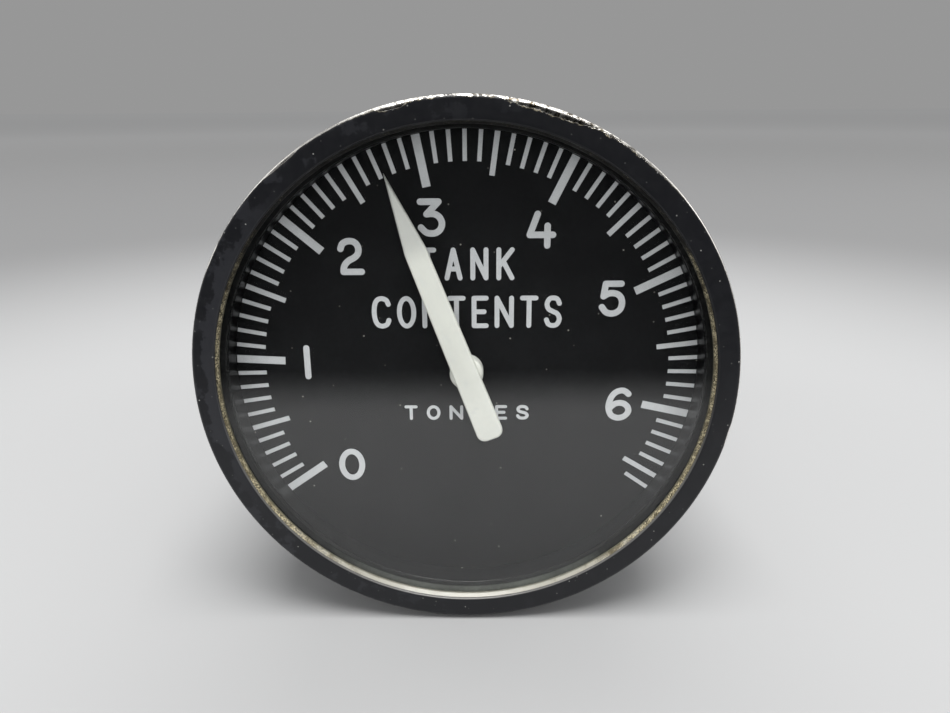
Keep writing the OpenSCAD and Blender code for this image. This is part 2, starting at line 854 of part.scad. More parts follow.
module connector_board() {
  color("#3f6b45")
    difference() {
      rod(board_r, connector_board_back, connector_board_front);
      at_each(pillar_at)
        rod(screw_d / 2 + fit, connector_board_back - 1, connector_board_front + 1);
      at_each(contact_at)
        rod(contact_d / 2 + fit, connector_board_back - 1, connector_board_front + 1);
    }
}

module board_nuts() {
  color("#b0b3b7")
    at_each(pillar_at)
      difference() {
        translate([0, 0, connector_board_back - nut_height])
          cylinder(d = pillar_flats / cos(30), h = nut_height, $fn = 6);
        rod(screw_d / 2 + fit, connector_board_back - nut_height - 1, connector_board_back + 1);
      }
}

module trimmers() {
  color("#2f4f86")
    for (s = [-1, 1])
      translate([s * adjuster_spacing / 2, adjuster_y, 0])
        difference() {
          translate([-trimmer_side / 2, -trimmer_side / 2, connector_board_back - trimmer_height])
            cube([trimmer_side, trimmer_side, trimmer_height]);
          rod(adjuster_d / 2 + run_clearance, connector_board_back - trimmer_height - 1,
            connector_board_back - 1.4 + end_float);
        }
}

module adjuster(side) {
  color("#c9a95a")
    translate([side * adjuster_spacing / 2, adjuster_y, 0])
      difference() {
        rod(adjuster_d / 2, case_back + 0.2, connector_board_back - 1.4);
        translate([0, 0, case_back])
          cube([adjuster_d + 1, 0.6, 1.8], center = true);
      }
}

module empty_adjuster() {
  adjuster(-1);
}

module full_adjuster() {
  adjuster(1);
}

module case() {
  color("#222224")
    difference() {
      rotate_extrude()
        polygon(concat(
          [[0, case_back]],
          arc_points([case_r - rear_edge_r, case_back + rear_edge_r], rear_edge_r, 270, 360),
          [[case_r, 0], [collar_r, 0], [collar_r, collar_length], [seat_bore_r, collar_length],
            [seat_bore_r, front_plate_back], [case_bore_r, front_plate_back],
            [case_bore_r, case_floor], [0, case_floor]]));
      rod(barrel_r + fit, case_back - 1, case_floor + 1);
      at_each(flange_screw_at)
        rod(flange_screw_d / 2 + fit, case_back - 1, case_floor + 1);
      for (s = [-1, 1])
        translate([s * adjuster_spacing / 2, adjuster_y, 0])
          rod(adjuster_d / 2 + run_clearance, case_back - 1, case_floor + 1);
    }
}

// Square plate with rounded corners, holes for the flange screws and a round hole in the middle
module flange_plate(z0, z1, hole_r) {
  straight = flange_side - 2 * flange_edge;
  difference() {
    union() {
      translate([-flange_side / 2, -straight / 2, z0])
        cube([flange_side, straight, z1 - z0]);
      translate([-straight / 2, -flange_side / 2, z0])
        cube([straight, flange_side, z1 - z0]);
      at_each(flange_screw_at)
        rod(flange_edge, z0, z1);
    }
    at_each(flange_screw_at)
      rod(flange_screw_d / 2 + fit, z0 - 1, z1 + 1);
    rod(hole_r, z0 - 1, z1 + 1);
  }
}

module connector_gasket() {
  color("#151515")
    flange_plate(flange_front, case_back, barrel_r + fit);
}

// Slot for a key of the plug, along the inside of the shell
module keyway(width) {
  translate([0, -width / 2, shell_end - 1])
    cube([shell_bore_r + keyway_depth, width, socket_depth + 1]);
}

module connector_shell() {
  color("#6c6a4a") {
    flange_plate(flange_back, flange_front, shell_bore_r);
    difference() {
      union() {
        rod(shell_r, shell_end, flange_back + 0.5);
        rod(barrel_r, flange_front - 0.5, barrel_front);
        for (a = [30, 150, 270])
          rotate([0, 0, a])
            translate([shell_r - 0.5, 0, shell_end + bayonet_setback])
              rotate([0, 90, 0])
                cylinder(r = bayonet_r, h = bayonet_height + 0.5);
      }
      rod(shell_bore_r, shell_end - 1, barrel_front + 1);
      for (a = [90, 195, 230, 310, 345])
        rotate([0, 0, a])
          keyway(a == 90 ? main_keyway : side_keyway);
    }
  }
}

module connector_insert() {
  color("#1d1d1d")
    difference() {
      rod(shell_bore_r - fit, insert_face, barrel_front);
      at_each(contact_at)
        rod(contact_d / 2, insert_face - 1, barrel_front + 1);
    }
}

module connector_contacts() {
  color("#d9b75c")
    at_each(contact_at) {
      rod(contact_d / 2, insert_face - contact_length + contact_d / 2, connector_board_front + 0.6);
      translate([0, 0, insert_face - contact_length + contact_d / 2])
        sphere(d = contact_d);
    }
}

module connector_screws() {
  color("#b0b3b7")
    at_each(flange_screw_at)
      cheese_screw(flange_screw_d, 1.8 * flange_screw_d, flange_screw_head_h,
        flange_thickness + flange_gasket + rear_wall + 1, flange_back, -1);
}

face_front() bezel();
face_front() glass_seal();
face_front() glass();
face_front() glass_gasket();
face_front() dial_mask();
face_front() dial();
face_front() pointer();
face_front() pointer_hub();
face_front() pointer_shaft();
face_front() front_bearing();
face_front() rear_bearing();
face_front() main_gear();
face_front() stop_pin();
face_front() stop_posts();
face_front() idler_pinion();
face_front() idler_gear();
face_front() idler_bushes();
face_front() front_plate();
face_front() rear_plate();
face_front() plate_pillars();
face_front() plate_screws();
face_front() motor_pinion();
face_front() motor_rotor();
face_front() motor_cap();
face_front() motor_can();
face_front() motor_screws();
face_front() pot_housing();
face_front() pot_winding();
face_front() pot_wiper();
face_front() pot_screws();
face_front() board_pillars();
face_front() amplifier_board();
face_front() transformer_core();
face_front() transformer_coil();
face_front() transistors();
face_front() capacitors();
face_front() resistors();
face_front() board_spacers();
face_front() connector_board();
face_front() board_nuts();
face_front() trimmers();
face_front() empty_adjuster();
face_front() full_adjuster();
face_front() case();
face_front() connector_gasket();
face_front() connector_shell();
face_front() connector_insert();
face_front() connector_contacts();
face_front() connector_screws();
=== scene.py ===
import json
import math

import bmesh
import bpy
from mathutils import Matrix, Vector, noise


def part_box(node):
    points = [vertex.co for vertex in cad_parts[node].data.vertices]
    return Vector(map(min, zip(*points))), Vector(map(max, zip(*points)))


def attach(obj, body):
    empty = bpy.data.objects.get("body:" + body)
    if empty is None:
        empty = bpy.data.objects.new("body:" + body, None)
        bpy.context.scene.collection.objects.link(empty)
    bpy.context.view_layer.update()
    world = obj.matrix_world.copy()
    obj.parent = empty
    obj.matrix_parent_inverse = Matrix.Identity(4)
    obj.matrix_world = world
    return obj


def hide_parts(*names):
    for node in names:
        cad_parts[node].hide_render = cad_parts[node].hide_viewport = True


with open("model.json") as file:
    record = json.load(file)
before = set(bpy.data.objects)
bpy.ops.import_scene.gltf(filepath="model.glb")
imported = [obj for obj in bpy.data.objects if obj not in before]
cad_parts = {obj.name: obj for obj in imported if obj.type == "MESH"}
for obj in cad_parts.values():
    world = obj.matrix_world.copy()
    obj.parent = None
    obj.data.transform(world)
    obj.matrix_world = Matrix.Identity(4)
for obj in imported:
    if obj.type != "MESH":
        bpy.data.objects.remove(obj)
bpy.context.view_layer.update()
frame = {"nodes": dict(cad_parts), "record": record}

# All lengths are millimetres in the gauge's own frame: x to the right, y up,
# and z out of the dial towards the viewer, with 0 on the panel that the bezel rests on.
MM = 0.001


def place(x, y, z):
    """A point of the gauge's frame as row coordinates in metres."""
    return (x * MM, -z * MM, y * MM)


def extent(node):
    """How far a node reaches to the right, to the back and to the front."""
    low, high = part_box(node)
    return [round(v / MM, 3) for v in (high[0], -high[1], -low[1])]


# Sizes that the frame gives
BEZEL_R, BEZEL_BACK, BEZEL_FRONT = extent("bezel")
STACK_R, GLASS_BACK, GLASS_FRONT = extent("glass")
BEAD_FRONT = extent("glass_seal")[2]
_, DIAL_FACE, MASK_FRONT = extent("dial_mask")
_, BLADE_BACK, BLADE_FRONT = extent("pointer")
HUB_R, HUB_BACK, _ = extent("pointer_hub")
SHAFT_FRONT = extent("pointer_shaft")[2]
CASE_BACK = extent("case")[1]
FLANGE_HALF, SHELL_BACK, _ = extent("connector_shell")
FLANGE_SCREW_BACK = extent("connector_screws")[1]

# Sizes of the solids that their boxes don't give
BEZEL_BORE_R, BEZEL_EDGE_R, BEZEL_CHAMFER = 24.05, 0.4, 0.2
LIP_R, LIP_BACK = 23.5, 8.55
BEAD_WIDTH = 0.25
MASK_BORE_R = 22.9
MARK_OUTER_R, MARK_DEPTH = 22.85, 0.12
MARK_LENGTHS = {"minor": 2.9, "medium": 4.05, "major": 4.85}
MARK_WIDTHS = {"minor": 0.42, "medium": 0.52, "major": 0.8}
TIP_R, SHOULDER_R, TAIL = 20.4, 12.9, 7.1
SHOULDER_WIDTH, TAIL_WIDTH, TAIL_CORNER_R = 2.1, 2.65, 0.85
SHAFT_R = 1.0
CASE_R, CASE_EDGE_R = 23.6, 1.5
SHELL_R, FLANGE_BACK = 9.5, -71.4
FLANGE_SCREW_AT, FLANGE_SLOT = 10.3, 0.9

# The scale: direction of 0 and sweep in degrees, its last reading and the one that the pointer shows
SCALE_START, SCALE_SWEEP, SCALE_END = 215.0, 250.0, 6.6
POINTER_READING = 2.75

# Direction on the face, in degrees, where the bezel's edge is knocked most
KNOCKED_AT = 78


# Materials

class Value:
    """A number, colour or vector that a node gives. Arithmetic on a number adds Math nodes."""

    def __init__(self, finish, socket):
        self.finish = finish
        self.socket = socket

    def __add__(self, other):
        return self.finish.math("ADD", self, other)

    def __sub__(self, other):
        return self.finish.math("SUBTRACT", self, other)

    def __rsub__(self, other):
        return self.finish.math("SUBTRACT", other, self)

    def __mul__(self, other):
        return self.finish.math("MULTIPLY", self, other)

    def __truediv__(self, other):
        return self.finish.math("DIVIDE", self, other)

    def __neg__(self):
        return self * -1.0

    def __abs__(self):
        return self.finish.math("ABSOLUTE", self)

    __radd__ = __add__
    __rmul__ = __mul__


class Finish:
    """A node material under construction."""

    def __init__(self, name):
        self.material = bpy.data.materials.new(name)
        self.material.use_nodes = True
        self.tree = self.material.node_tree
        self.tree.nodes.clear()
        self.output = self.add("OutputMaterial")
        self.shader = self.add("BsdfPrincipled")
        self.show(self.shader.outputs[0])
        scaled = self.add("VectorMath")
        scaled.operation = "SCALE"
        self.link(self.add("TexCoord").outputs["Object"], scaled.inputs["Vector"])
        self.link(1 / MM, scaled.inputs["Scale"])
        self.position = Value(self, scaled.outputs["Vector"])

    def add(self, kind):
        return self.tree.nodes.new("ShaderNode" + kind)

    def link(self, source, target):
        """Feeds a socket from a node, or sets it to a constant."""
        if isinstance(source, Value):
            source = source.socket
        if isinstance(source, bpy.types.NodeSocket):
            self.tree.links.new(source, target)
        else:
            target.default_value = source

    def show(self, shader):
        """Makes that shader the material's surface."""
        self.link(shader, self.output.inputs["Surface"])

    def set(self, **sockets):
        """Feeds the shader's sockets. An underscore stands for a space in a name."""
        for name, value in sockets.items():
            self.link(value, self.shader.inputs[name.replace("_", " ")])
        return self

    def mixed(self, share, first, second):
        """Two shaders, mixed."""
        node = self.add("MixShader")
        for source, socket in zip((share, first, second), node.inputs):
            self.link(source, socket)
        return node.outputs[0]

    def math(self, operation, *inputs):
        node = self.add("Math")
        node.operation = operation
        for value, socket in zip(inputs, node.inputs):
            self.link(value, socket)
        return Value(self, node.outputs[0])

    def largest(self, first, *others):
        for other in others:
            first = self.math("MAXIMUM", first, other)
        return first

    def span(self, value, low, high, to_low=0.0, to_high=1.0):
        """Maps low..high smoothly to to_low..to_high, and holds it at the ends."""
        node = self.add("MapRange")
        node.interpolation_type = "SMOOTHSTEP"
        for source, socket in zip((value, low, high, to_low, to_high), node.inputs):
            self.link(source, socket)
        return Value(self, node.outputs[0])

    def axes(self):
        """x, y and z in the gauge's frame."""
        node = self.add("SeparateXYZ")
        self.link(self.position, node.inputs[0])
        row_x, row_y, row_z = (Value(self, output) for output in node.outputs)
        return row_x, row_z, -row_y

    def radius(self):
        """The distance from the gauge's axis."""
        x, y, _ = self.axes()
        return self.math("SQRT", x * x + y * y)

    def noise(self, scale, detail=3.0, roughness=0.5, vector=None):
        """Noise with that many cells to the millimetre."""
        node = self.add("TexNoise")
        self.link(vector or self.position, node.inputs["Vector"])
        node.inputs["Scale"].default_value = scale
        node.inputs["Detail"].default_value = detail
        node.inputs["Roughness"].default_value = roughness
        return Value(self, node.outputs["Fac"])

    def streaks(self, scales, detail=3.0):
        """Noise with that many cells to the millimetre along each of the row's axes."""
        node = self.add("Mapping")
        self.link(self.position, node.inputs["Vector"])
        node.inputs["Scale"].default_value = scales
        return self.noise(1.0, detail, 0.6, Value(self, node.outputs[0]))

    def patchy(self, scale, low, high, detail=4.0):
        """A number that drifts between low and high."""
        return self.span(self.noise(scale, detail), 0.3, 0.7, low, high)

    def specks(self, spacing, radius, share, flat=False):
        """Scattered dots, about spacing apart, on that share of the places.

        Flat ones lie on a face across the gauge's axis.
        """
        node = self.add("TexVoronoi")
        vector = self.position
        if flat:
            node.voronoi_dimensions = "2D"
            x, y, _ = self.axes()
            across = self.add("CombineXYZ")
            self.link(x, across.inputs[0])
            self.link(y, across.inputs[1])
            vector = across.outputs[0]
        self.link(vector, node.inputs["Vector"])
        node.inputs["Scale"].default_value = 1 / spacing
        distance = Value(self, node.outputs["Distance"])
        tint = self.add("SeparateColor")
        self.link(node.outputs["Color"], tint.inputs[0])
        chosen = self.span(Value(self, tint.outputs[0]), 1 - share, 1.0, 0.15, 1.0)
        return self.span(distance, radius / spacing, 0.4 * radius / spacing) * chosen

    def blend(self, share, first, second):
        """Two colours, mixed."""
        node = self.add("Mix")
        node.data_type = "RGBA"
        self.link(share, node.inputs[0])
        for colour, socket in ((first, node.inputs[6]), (second, node.inputs[7])):
            self.link(colour if isinstance(colour, Value) else (*colour, 1.0), socket)
        return Value(self, node.outputs[2])

    def bump(self, height, depth, strength=1.0):
        node = self.add("Bump")
        node.inputs["Strength"].default_value = strength
        node.inputs["Distance"].default_value = depth * MM
        self.link(height, node.inputs["Height"])
        return node.outputs[0]


def shade(colour, factor):
    return tuple(min(1.0, c * factor) for c in colour)


def mottled(f, colour, spread):
    """The colour, varied broadly and finely by that spread."""
    tone = 0.6 * f.noise(0.25, 4) + 0.4 * f.noise(2.6, 2)
    return f.blend(f.span(tone, 0.32, 0.68), shade(colour, 1 - spread), shade(colour, 1 + spread))


def painted(name, colour, roughness, vary, gloss, spread=0.2, dust=0.0, grain=0.0):
    """Even paint, with pale dust on it, or a grain of that depth."""
    f = Finish(name)
    base = mottled(f, colour, spread)
    if dust:
        base = f.blend(dust * f.specks(5.0, 0.1, 0.6, flat=True), base, (0.5, 0.48, 0.42))
    f.set(Base_Color=base, Specular_IOR_Level=gloss,
          Roughness=f.patchy(0.9, roughness - vary, roughness + vary))
    if grain:
        f.set(Normal=f.bump(f.noise(5.2, 3, 0.6), grain))
    return f


# Tool marks, in cells to the millimetre along the row's axes
TURNED = (0.15, 5.2, 0.15)
ROLLED = (4.2, 4.2, 0.16)


def metal(name, colour, roughness, tooling=TURNED, depth=0.003, painted_shade_mask=None):
    """Bare metal with faint stains and fine tool marks, and painted shade where the given mask is 1."""
    f = Finish(name)
    lines = f.streaks(tooling)
    stain = f.noise(0.32, 4, 0.6)
    base = f.blend(f.span(stain, 0.35, 0.75), colour, shade(colour, 0.72))
    # Painted shade: a dark colour where the mask is 1
    if painted_shade_mask:
        base = f.blend(painted_shade_mask(f), base, (0.03, 0.027, 0.022))
    tooled = f.span(lines, 0.3, 0.7, roughness - 0.08, roughness + 0.1)
    return f.set(Base_Color=base, Metallic=1.0, Roughness=tooled + f.span(stain, 0.5, 0.8, 0.0, 0.12),
                 Normal=f.bump(lines, depth))


def flange_slots(f):
    """Painted shade in the slots of the connector's screw heads, fading out towards their rims."""
    _, y, z = f.axes()
    off = abs(abs(y) - FLANGE_SCREW_AT)
    within = f.span(off, FLANGE_SLOT / 2 + 0.03, FLANGE_SLOT / 2 - 0.02)
    below = f.span(z, FLANGE_SCREW_BACK + 0.1, FLANGE_SCREW_BACK + 0.6)
    return within * below * f.span(f.noise(1.7, 4, 0.6), 0.35, 0.62, 0.95, 0.6)


def moulded(name, colour, roughness):
    f = Finish(name)
    return f.set(Base_Color=mottled(f, colour, 0.12), Normal=f.bump(f.noise(3.5, 3), 0.006),
                 Roughness=f.patchy(0.7, roughness - 0.06, roughness + 0.08, detail=3))


# Rubbed places on the bezel's edge: direction on the face, half-widths of the full
# and of the fading stretch, all in degrees, and how far in the paint is gone
BEZEL_RUBS = (
    (73, 2, 11, 0.5),
    (104, 0.5, 3.5, 0.34),
    (52, 1, 8, 0.1),
    (128, 0.5, 5, 0.16),
    (152, 0.5, 4, 0.08),
    (348, 0.5, 3, 0.12),
    (318, 0.5, 3, 0.18),
)


def bezel_finish():
    """Satin black paint, rubbed to bright metal along the outer edge, most of all at the top, and a painted
    highlight of bright metal on the lower inner edge of its bore.
    """
    f = Finish("bezel_paint_worn")
    black, scuffed, undercoat = (0.0082, 0.0085, 0.0102), (0.036, 0.037, 0.043), (0.2, 0.175, 0.12)
    dust, bright, grime = (0.36, 0.36, 0.34), (0.8, 0.775, 0.73), (0.07, 0.058, 0.042)
    x, y, z = f.axes()
    radius = f.radius()
    side, up = x / radius, y / radius
    inset, sunk = BEZEL_R - radius, BEZEL_FRONT - z

    def toward(degrees, full, faded):
        """1 within full degrees of that direction on the face, and 0 past faded degrees."""
        a = math.radians(degrees)
        along = side * math.cos(a) + up * math.sin(a)
        return f.span(along, math.cos(math.radians(faded)), math.cos(math.radians(full)))

    # How far the bare metal reaches in from the edge and down the wall
    knocked = toward(KNOCKED_AT, 6, 42)
    ragged = 0.5 * f.noise(0.52, 4, 0.6) + 0.5 * f.noise(2.6, 4, 0.65) - 0.5
    reach = f.span(up, -0.55, -0.1, -0.1, 0.13) + f.span(up, 0.5, 0.9, 0.0, 0.045)
    reach -= f.span(side, -0.5, -0.85, 0.0, 0.055)
    for degrees, full, faded, depth in BEZEL_RUBS:
        reach += depth * toward(degrees, full, faded)
    reach += ragged * (0.14 + 1.25 * knocked)
    down = 1.7 * reach + ragged * (0.4 + knocked)
    rubbed = f.span(reach - inset, 0.0, 0.03)
    worn = rubbed * f.span(down + 0.12 - sunk, 0.0, 0.08)
    chips = 0.8 * f.specks(1.7, 0.1, 0.45)
    # Painted highlight: bright metal on the bore's inner edge, in the lower half only, where the lamps would
    # catch it
    painted_lip_highlight = f.span(radius, LIP_R + 0.12, LIP_R + 0.04) * f.span(up, 0.1, -0.5, 0.0, 0.13)
    bare = f.largest(worn, chips, painted_lip_highlight * f.span(z, LIP_BACK + 0.3, LIP_BACK + 0.5))

    # Paint: scuffed and hazy on the left, with undercoat beside the bare metal and dust on the face
    patches = f.noise(0.47, 6, 0.66)
    scuffs = f.span(patches, 0.53, 0.58) * f.span(side, 0.6, -0.9, 0.04, 0.3)
    haze = 0.4 * f.span(inset + 4.5 * (patches - 0.5), 1.0, 1.25) * toward(172, 10, 46)
    paint = f.blend(f.largest(scuffs, haze), black, scuffed)
    thinned = (f.span(reach - inset, -0.07, -0.04) - rubbed) * f.span(f.noise(1.5, 3), 0.4, 0.6)
    paint = f.blend(thinned * f.largest(knocked, 0.12), paint, undercoat)
    on_face = f.span(z, BEZEL_FRONT - 0.1, BEZEL_FRONT - 0.05, 0.0, 0.7)
    paint = f.blend(f.specks(2.1, 0.085, 0.42, flat=True) * on_face, paint, dust)

    steel = f.blend(f.span(f.noise(1.9, 5, 0.65), 0.54, 0.4) * knocked, bright, grime)
    relief = 0.2 * f.noise(4.2, 3, 0.6) - bare
    return f.set(Base_Color=f.blend(bare, paint, steel), Metallic=bare, Specular_IOR_Level=0.35,
                 Roughness=f.patchy(1.3, 0.3, 0.42) - 0.06 * bare, Normal=f.bump(relief, 0.012, 0.8))


def pointer_finish():
    """Cream-white paint with faint smudges, and a painted shadow of the bezel's front rim greying the blade
    towards its tip.
    """
    f = Finish("paint_cream_white")
    smudges = 0.4 * f.span(f.noise(0.78, 5, 0.62), 0.56, 0.7)
    cream = f.blend(smudges, mottled(f, (0.735, 0.725, 0.672), 0.035), (0.6, 0.61, 0.6))
    # Painted shadow: the blade greys past its shoulder, where the bezel's front rim would shade it
    painted_lip_shadow = f.span(f.radius(), SHOULDER_R - 1.5, SHOULDER_R + 1.3, 0.0, 0.74)
    return f.set(Base_Color=f.blend(painted_lip_shadow, cream, (0.48, 0.475, 0.455)), Roughness=f.patchy(0.9, 0.43, 0.57),
                 Normal=f.bump(f.noise(5.2, 3, 0.6), 0.004))


def rubber_finish():
    """Black rubber. The lower part of the ring behind the glass is painted a lighter grey, a painted
    reflection of the bead and the light that falls there.
    """
    f = Finish("rubber_black")
    _, y, z = f.axes()
    low = f.span(y + 6.0 * f.noise(0.5, 4), -13.5, -20.5)
    behind_glass = f.span(f.radius(), MASK_BORE_R + 0.12, MASK_BORE_R + 0.3) * f.span(z, 0.0, GLASS_BACK / 2)
    black = mottled(f, (0.016, 0.016, 0.016), 0.25)
    # Painted reflection and light: this grey lightens the lower ring in place of the bead's reflection
    dust = mottled(f, (0.135, 0.14, 0.125), 0.2)
    return f.set(Base_Color=f.blend(low * behind_glass, black, dust),
                 Roughness=f.patchy(0.7, 0.56, 0.7, detail=3), Normal=f.bump(f.noise(2.2, 3), 0.012))


def compound_finish():
    """Gritty tan sealing compound, paler at the bottom as a painted highlight, darker towards the top, with
    painted shade at its foot by the glass.
    """
    f = Finish("sealing_compound_gritty")
    dark_grain, pale_grain, stained = (0.03, 0.025, 0.015), (0.5, 0.44, 0.29), (0.085, 0.07, 0.04)
    painted_highlight_pale, shaded_foot, top_dark = (0.29, 0.28, 0.24), (0.07, 0.068, 0.05), (0.006, 0.0055, 0.005)
    _, y, z = f.axes()
    grit = f.noise(6.5, 4, 0.7)
    stain = f.noise(0.9, 3)
    height = y + 12.0 * stain
    tan = f.blend(f.span(grit, 0.42, 0.6), dark_grain, pale_grain)
    tan = f.blend(f.span(stain, 0.42, 0.7), tan, stained)
    # Painted highlight: paler towards the bottom, where the lamps catch the bead's slope
    tan = f.blend(f.span(height, -9.0, -15.5), tan, painted_highlight_pale)
    # Painted shade at the bead's foot, beside the glass
    tan = f.blend(0.75 * f.span(z, GLASS_FRONT + 0.24, GLASS_FRONT + 0.12), tan, shaded_foot)
    # Darker towards the top
    darker_top = f.span(height, 10.5, 21.0) * f.span(grit, 0.6, 0.68, 1.0, 0.6)
    return f.set(Base_Color=f.blend(darker_top, tan, top_dark), Specular_IOR_Level=0.25,
                 Roughness=f.span(grit, 0.3, 0.7, 0.5, 0.3), Normal=f.bump(grit, 0.012),
                 Coat_Weight=f.span(height, -4.0, -13.5, 0.0, 0.36), Coat_Roughness=0.16)


def glass_finish():
    """Clear glass. Lamps shine through it without bending, so that the dial is lit cleanly."""
    f = Finish("cover_glass_clear")
    f.set(Base_Color=(0.99, 1.0, 0.994, 1.0), Roughness=0.0, IOR=1.5, Transmission_Weight=1.0)
    clear = f.add("BsdfTransparent")
    clear.inputs[0].default_value = (0.935, 0.945, 0.94, 1.0)
    rays = f.add("LightPath").outputs
    shown = f.shader.outputs[0]
    for ray in ("Is Shadow Ray", "Is Diffuse Ray"):
        shown = f.mixed(rays[ray], shown, clear.outputs[0])
    f.show(shown)
    return f


# The band of the case that the panel's clamp marks most
CLAMP_FRONT, CLAMP_BACK = -6.0, -19.0


def case_finish():
    """Semi-gloss black enamel with lengthwise rub marks, a clamp's marks and a rubbed rear edge."""
    f = Finish("case_enamel_rubbed")
    _, _, z = f.axes()
    rubbed = f.span(f.streaks((2.3, 0.045, 2.3), 4), 0.57, 0.72) * f.span(f.noise(0.11, 4), 0.5, 0.66)
    clamp = f.span(z, CLAMP_FRONT + 3.0, CLAMP_FRONT) * f.span(z, CLAMP_BACK - 5.0, CLAMP_BACK)
    clamped = f.span(f.streaks((0.055, 3.6, 0.055)), 0.56, 0.66) * clamp
    rubbed = f.largest(rubbed, 0.7 * clamped)
    inset = CASE_R - f.radius() + (z - CASE_BACK)
    ragged = 0.6 * f.noise(0.26, 3) + 0.4 * f.noise(1.9, 4, 0.65)
    edge = f.span(0.2 * CASE_EDGE_R + 1.25 * ragged - inset, -0.02, 0.05)
    bare = f.largest(edge, 0.8 * f.specks(3.4, 0.16, 0.3))
    enamel = mottled(f, (0.017, 0.017, 0.0185), 0.18)
    enamel = f.blend(0.5 * rubbed, enamel, (0.075, 0.074, 0.072))
    return f.set(Base_Color=f.blend(0.75 * bare, enamel, (0.36, 0.35, 0.33)), Metallic=0.8 * bare,
                 Roughness=f.patchy(0.6, 0.27, 0.36) + 0.15 * rubbed, Normal=f.bump(f.noise(1.5, 2), 0.006))


def shell_finish():
    """Olive plating, rubbed to aluminium on the rim and the flange's edges, with bright pins."""
    f = Finish("shell_olive_plated")
    x, y, z = f.axes()
    radius = f.radius()
    square = f.largest(abs(x), abs(y))
    ragged = 0.6 * f.noise(0.3, 3) + 0.4 * f.noise(2.2, 4, 0.65)
    wear = 2.2 * (ragged - 0.42)
    rim = f.span(wear - (SHELL_R - radius + (z - SHELL_BACK)), -0.02, 0.06)
    edge = f.span(wear - (FLANGE_HALF - square + (z - FLANGE_BACK)), -0.02, 0.06)
    edge *= f.span(z, FLANGE_BACK - 0.1, FLANGE_BACK)
    pins = f.span(radius, SHELL_R + 0.03, SHELL_R + 0.1) * f.span(z, FLANGE_BACK - 1.0, FLANGE_BACK - 1.2)
    olive = mottled(f, (0.135, 0.128, 0.06), 0.2)
    lines = f.streaks((0.12, 4.2, 0.12))
    return f.set(Base_Color=f.blend(f.largest(rim, edge, pins), olive, (0.56, 0.55, 0.52)), Metallic=0.85,
                 Roughness=f.span(lines, 0.3, 0.7, 0.38, 0.5), Normal=f.bump(lines, 0.004))


def board_finish():
    """Green laminate with its woven glass showing faintly and tinned tracks."""
    f = Finish("board_laminate_green")
    x, y, _ = f.axes()
    weave = f.math("SINE", 9.0 * x) * f.math("SINE", 9.0 * y)
    tracks = f.span(abs(f.math("SINE", 1.25 * y + 9.0 * f.noise(0.09, 1))), 0.9, 0.95)
    green = f.blend(f.span(weave, -1.0, 1.0), (0.03, 0.105, 0.045), (0.045, 0.14, 0.06))
    return f.set(Base_Color=f.blend(tracks, green, (0.25, 0.32, 0.22)),
                 Roughness=f.patchy(1.2, 0.35, 0.5, detail=3), Normal=f.bump(0.2 * weave + tracks, 0.01))


def layers(f, pitch):
    """A wave along the gauge's axis with that pitch, from -1 to 1."""
    _, _, z = f.axes()
    return f.math("SINE", z * (-2 * math.pi / pitch))


def wound_finish():
    """Enamelled wire, wound in close turns."""
    f = Finish("copper_wire_wound")
    turns = layers(f, 0.16)
    copper = f.blend(f.span(turns, -1.0, 0.4), (0.1, 0.03, 0.012), mottled(f, (0.5, 0.19, 0.075), 0.2))
    return f.set(Base_Color=copper, Metallic=0.7, Roughness=f.patchy(2.0, 0.28, 0.42, detail=3),
                 Normal=f.bump(turns, 0.03))


def laminated_finish():
    """Edges of a stack of iron sheets."""
    f = Finish("core_iron_stacked")
    sheets = layers(f, 0.5)
    iron = f.blend(f.span(sheets, -0.9, -0.2), (0.03, 0.03, 0.032), mottled(f, (0.19, 0.185, 0.18), 0.25))
    return f.set(Base_Color=iron, Metallic=0.8, Roughness=f.patchy(1.5, 0.45, 0.62),
                 Normal=f.bump(sheets, 0.02))


STEEL = (0.52, 0.52, 0.53)
FINISHES = {
    "bezel_paint": bezel_finish(),
    "case_paint": case_finish(),
    "seal_compound": compound_finish(),
    "glass": glass_finish(),
    "black_rubber": rubber_finish(),
    "black_satin": painted("mask_black_satin", (0.006, 0.006, 0.0064), 0.34, 0.02, gloss=0.32),
    "dial_black": painted("dial_black_matt", (0.0082, 0.0082, 0.009), 0.55, 0.03, gloss=0.12, dust=0.9),
    "pointer_white": pointer_finish(),
    "steel": metal("steel_turned", STEEL, 0.3),
    "brass": metal("brass_turned", (0.62, 0.44, 0.17), 0.28),
    "plate_aluminium": metal("aluminium_machined", (0.64, 0.65, 0.66), 0.34, ROLLED),
    "motor_steel": metal("steel_plated", (0.36, 0.36, 0.37), 0.3),
    "brown_resin": moulded("resin_brown", (0.1, 0.042, 0.02), 0.4),
    "copper": wound_finish(),
    "board_green": board_finish(),
    "core_iron": laminated_finish(),
    "can_metal": metal("cans_plated", (0.48, 0.48, 0.49), 0.26),
    "blue_plastic": moulded("plastic_blue", (0.02, 0.055, 0.18), 0.3),
    "tan_ceramic": moulded("ceramic_tan", (0.46, 0.32, 0.17), 0.5),
    "olive_plate": shell_finish(),
    "gold_contacts": metal("contacts_gold", (0.78, 0.54, 0.18), 0.2, depth=0.002),
}
NODE_FINISHES = {"connector_screws": metal("steel_slotted", STEEL, 0.3, painted_shade_mask=flange_slots)}
MARK_PAINT = painted("paint_mark_white", (0.6, 0.6, 0.615), 0.6, 0.07, gloss=0.3, spread=0.06, grain=0.004)

SLOT_OF = {s["node"]: s["material_slot"] for s in frame["record"]["subparts"]}
for node, shown in frame["nodes"].items():
    finish = NODE_FINISHES.get(node, FINISHES[SLOT_OF[node]])
    shown.data.materials.clear()
    shown.data.materials.append(finish.material)


# Pieces

def shaded(mesh, sharp):
    """Shades a mesh smooth, with sharp edges where faces meet at more than that many degrees."""
    mesh.polygons.foreach_set("use_smooth", [True] * len(mesh.polygons))
    mesh.set_sharp_from_angle(angle=math.radians(sharp))


